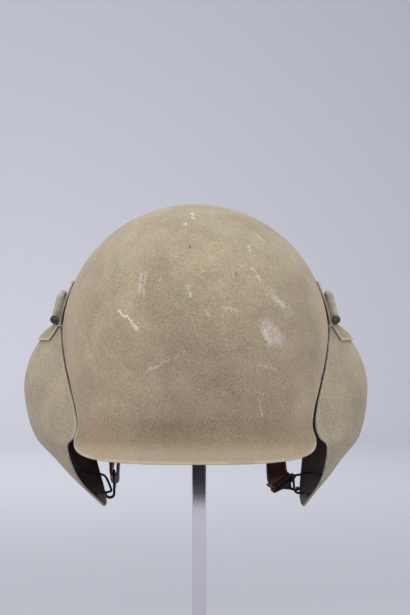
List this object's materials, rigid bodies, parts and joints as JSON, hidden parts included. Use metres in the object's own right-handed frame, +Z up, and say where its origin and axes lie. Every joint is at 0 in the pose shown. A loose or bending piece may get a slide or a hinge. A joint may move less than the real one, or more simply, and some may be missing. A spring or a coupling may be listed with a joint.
{
  "type": "flak helmet on display stand",
  "caption": "Steel flak helmet with hinged cheek plates and a leather chin strap, resting on a square steel post with a flat base.",
  "frame": {"origin": "middle of the underside of the stand's base", "axes": "+X is the wearer's right, +Y is the way the wearer looks, +Z is up"},
  "size_m": [0.2816, 0.2483, 0.4025],
  "materials": {
    "painted_dome": "granular matt paint, worn",
    "painted_plate": "granular matt paint, worn",
    "painted_hinge": "matt paint, worn at the edges",
    "painted_bail": "matt paint",
    "pin_steel": "dark, dull",
    "black_steel": "blackened, half shiny",
    "strap_leather": "dark red-brown, worn",
    "stand_steel": "polished",
    "pad_rubber": "dull"
  },
  "bodies": {
    "root": {"helmet_shell": "painted_dome", "chin_strap": "strap_leather", "cheek_plate_left": "painted_plate", "hinge_shell_leaf_left": "painted_hinge", "hinge_plate_leaf_left": "painted_hinge", "hinge_pin_left": "pin_steel", "hinge_bail_left": "painted_bail", "strap_loop_left": "black_steel", "strap_hook_left": "black_steel", "cheek_plate_right": "painted_plate", "hinge_shell_leaf_right": "painted_hinge", "hinge_plate_leaf_right": "painted_hinge", "hinge_pin_right": "pin_steel", "hinge_bail_right": "painted_bail", "strap_loop_right": "black_steel", "strap_hook_right": "black_steel", "stand_base": "stand_steel", "stand_post": "stand_steel", "stand_pad": "pad_rubber"}
  },
  "joints": []
}
